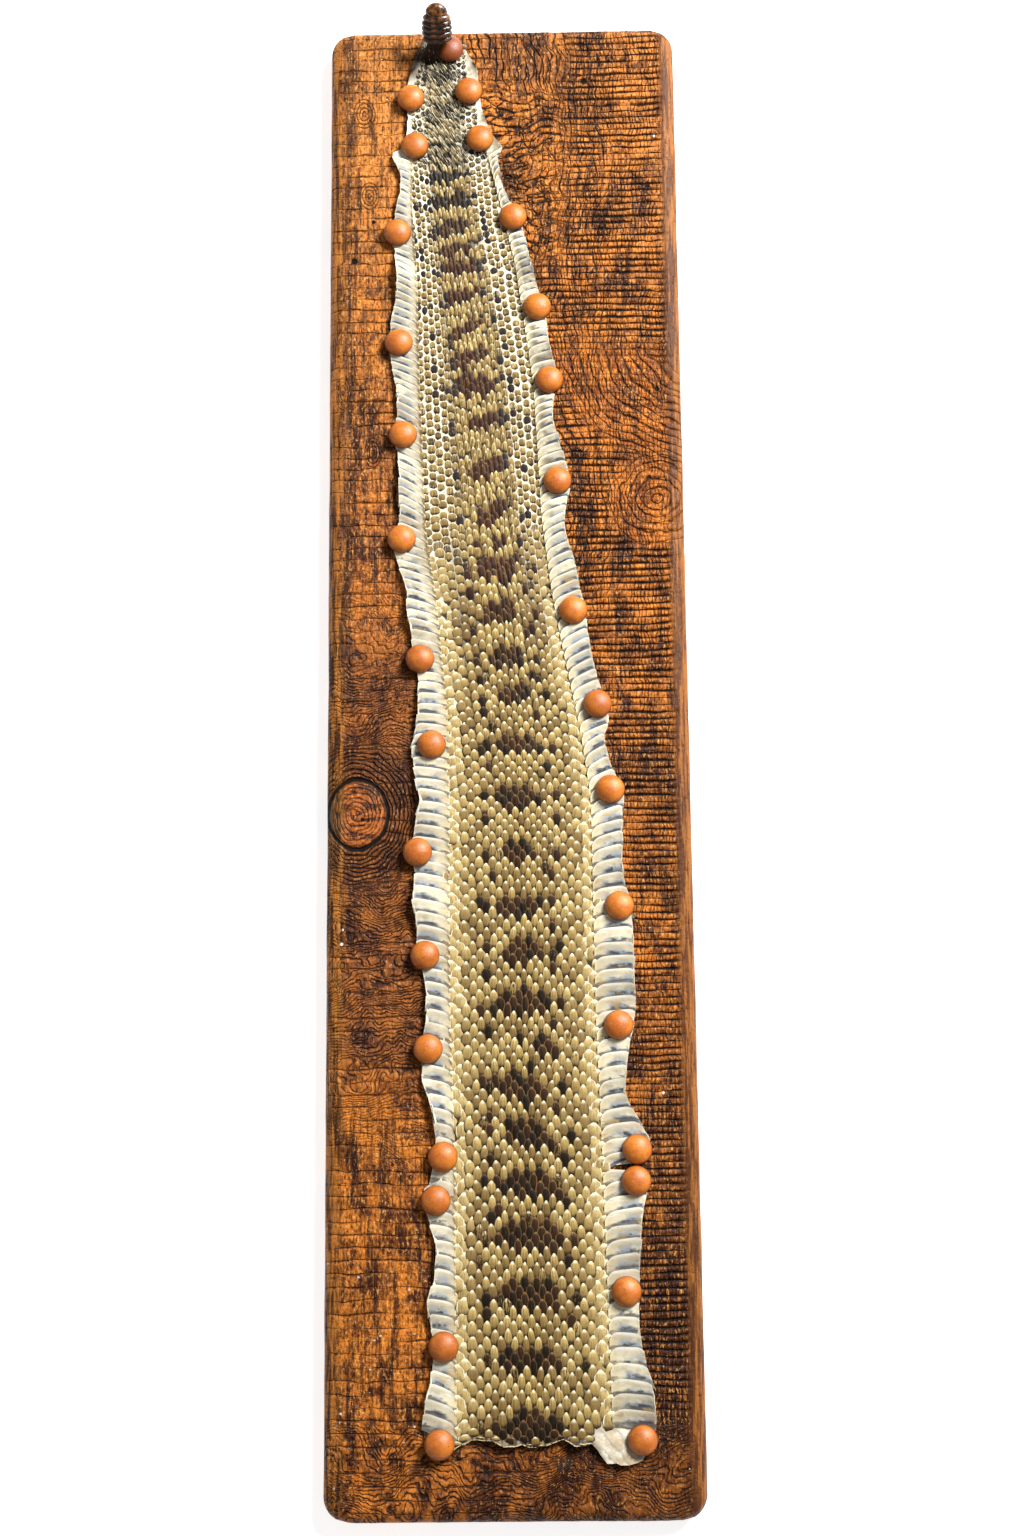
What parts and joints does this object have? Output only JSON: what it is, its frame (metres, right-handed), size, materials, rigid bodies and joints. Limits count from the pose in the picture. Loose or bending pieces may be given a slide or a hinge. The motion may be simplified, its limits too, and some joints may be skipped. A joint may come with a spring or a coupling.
{
  "type": "mounted rattlesnake skin",
  "caption": "Tanned rattlesnake skin with its rattle, opened flat and pinned with domed wooden tacks to a dark-stained rough-sawn board.",
  "frame": {"origin": "middle of the board's flat back face", "axes": "+X across the board, +Y along it from the neck end of the skin to its rattle, +Z out of the board's front towards the viewer"},
  "size_m": [0.254, 1.0696, 0.0596],
  "materials": {
    "stained_board": "rough-sawn softwood with a dark orange-brown stain, darker in the saw marks and grain",
    "dried_snake_skin": "tanned scaled hide: tan keeled back scales with dark brown blotches, cream belly scutes with a low sheen",
    "rattle_horn": "glossy dark brown horn, amber at the tip",
    "tack_wood": "smooth turned wooden dome with an orange-brown satin stain"
  },
  "bodies": {
    "root": {"board": "stained_board", "rattle_button": "rattle_horn", "rattle_ring_1": "rattle_horn", "rattle_ring_2": "rattle_horn", "rattle_ring_3": "rattle_horn", "rattle_ring_4": "rattle_horn", "rattle_ring_5": "rattle_horn", "snake_skin": "dried_snake_skin", "tack_left_01": "tack_wood", "tack_left_02": "tack_wood", "tack_left_03": "tack_wood", "tack_left_04": "tack_wood", "tack_left_05": "tack_wood", "tack_left_06": "tack_wood", "tack_left_07": "tack_wood", "tack_left_08": "tack_wood", "tack_left_09": "tack_wood", "tack_left_10": "tack_wood", "tack_left_11": "tack_wood", "tack_left_12": "tack_wood", "tack_left_13": "tack_wood", "tack_left_14": "tack_wood", "tack_left_15": "tack_wood", "tack_right_01": "tack_wood", "tack_right_02": "tack_wood", "tack_right_03": "tack_wood", "tack_right_04": "tack_wood", "tack_right_05": "tack_wood", "tack_right_06": "tack_wood", "tack_right_07": "tack_wood", "tack_right_08": "tack_wood", "tack_right_09": "tack_wood", "tack_right_10": "tack_wood", "tack_right_11": "tack_wood", "tack_right_12": "tack_wood", "tack_right_13": "tack_wood", "tack_right_14": "tack_wood", "tack_right_15": "tack_wood", "tack_tail": "tack_wood"}
  },
  "joints": []
}
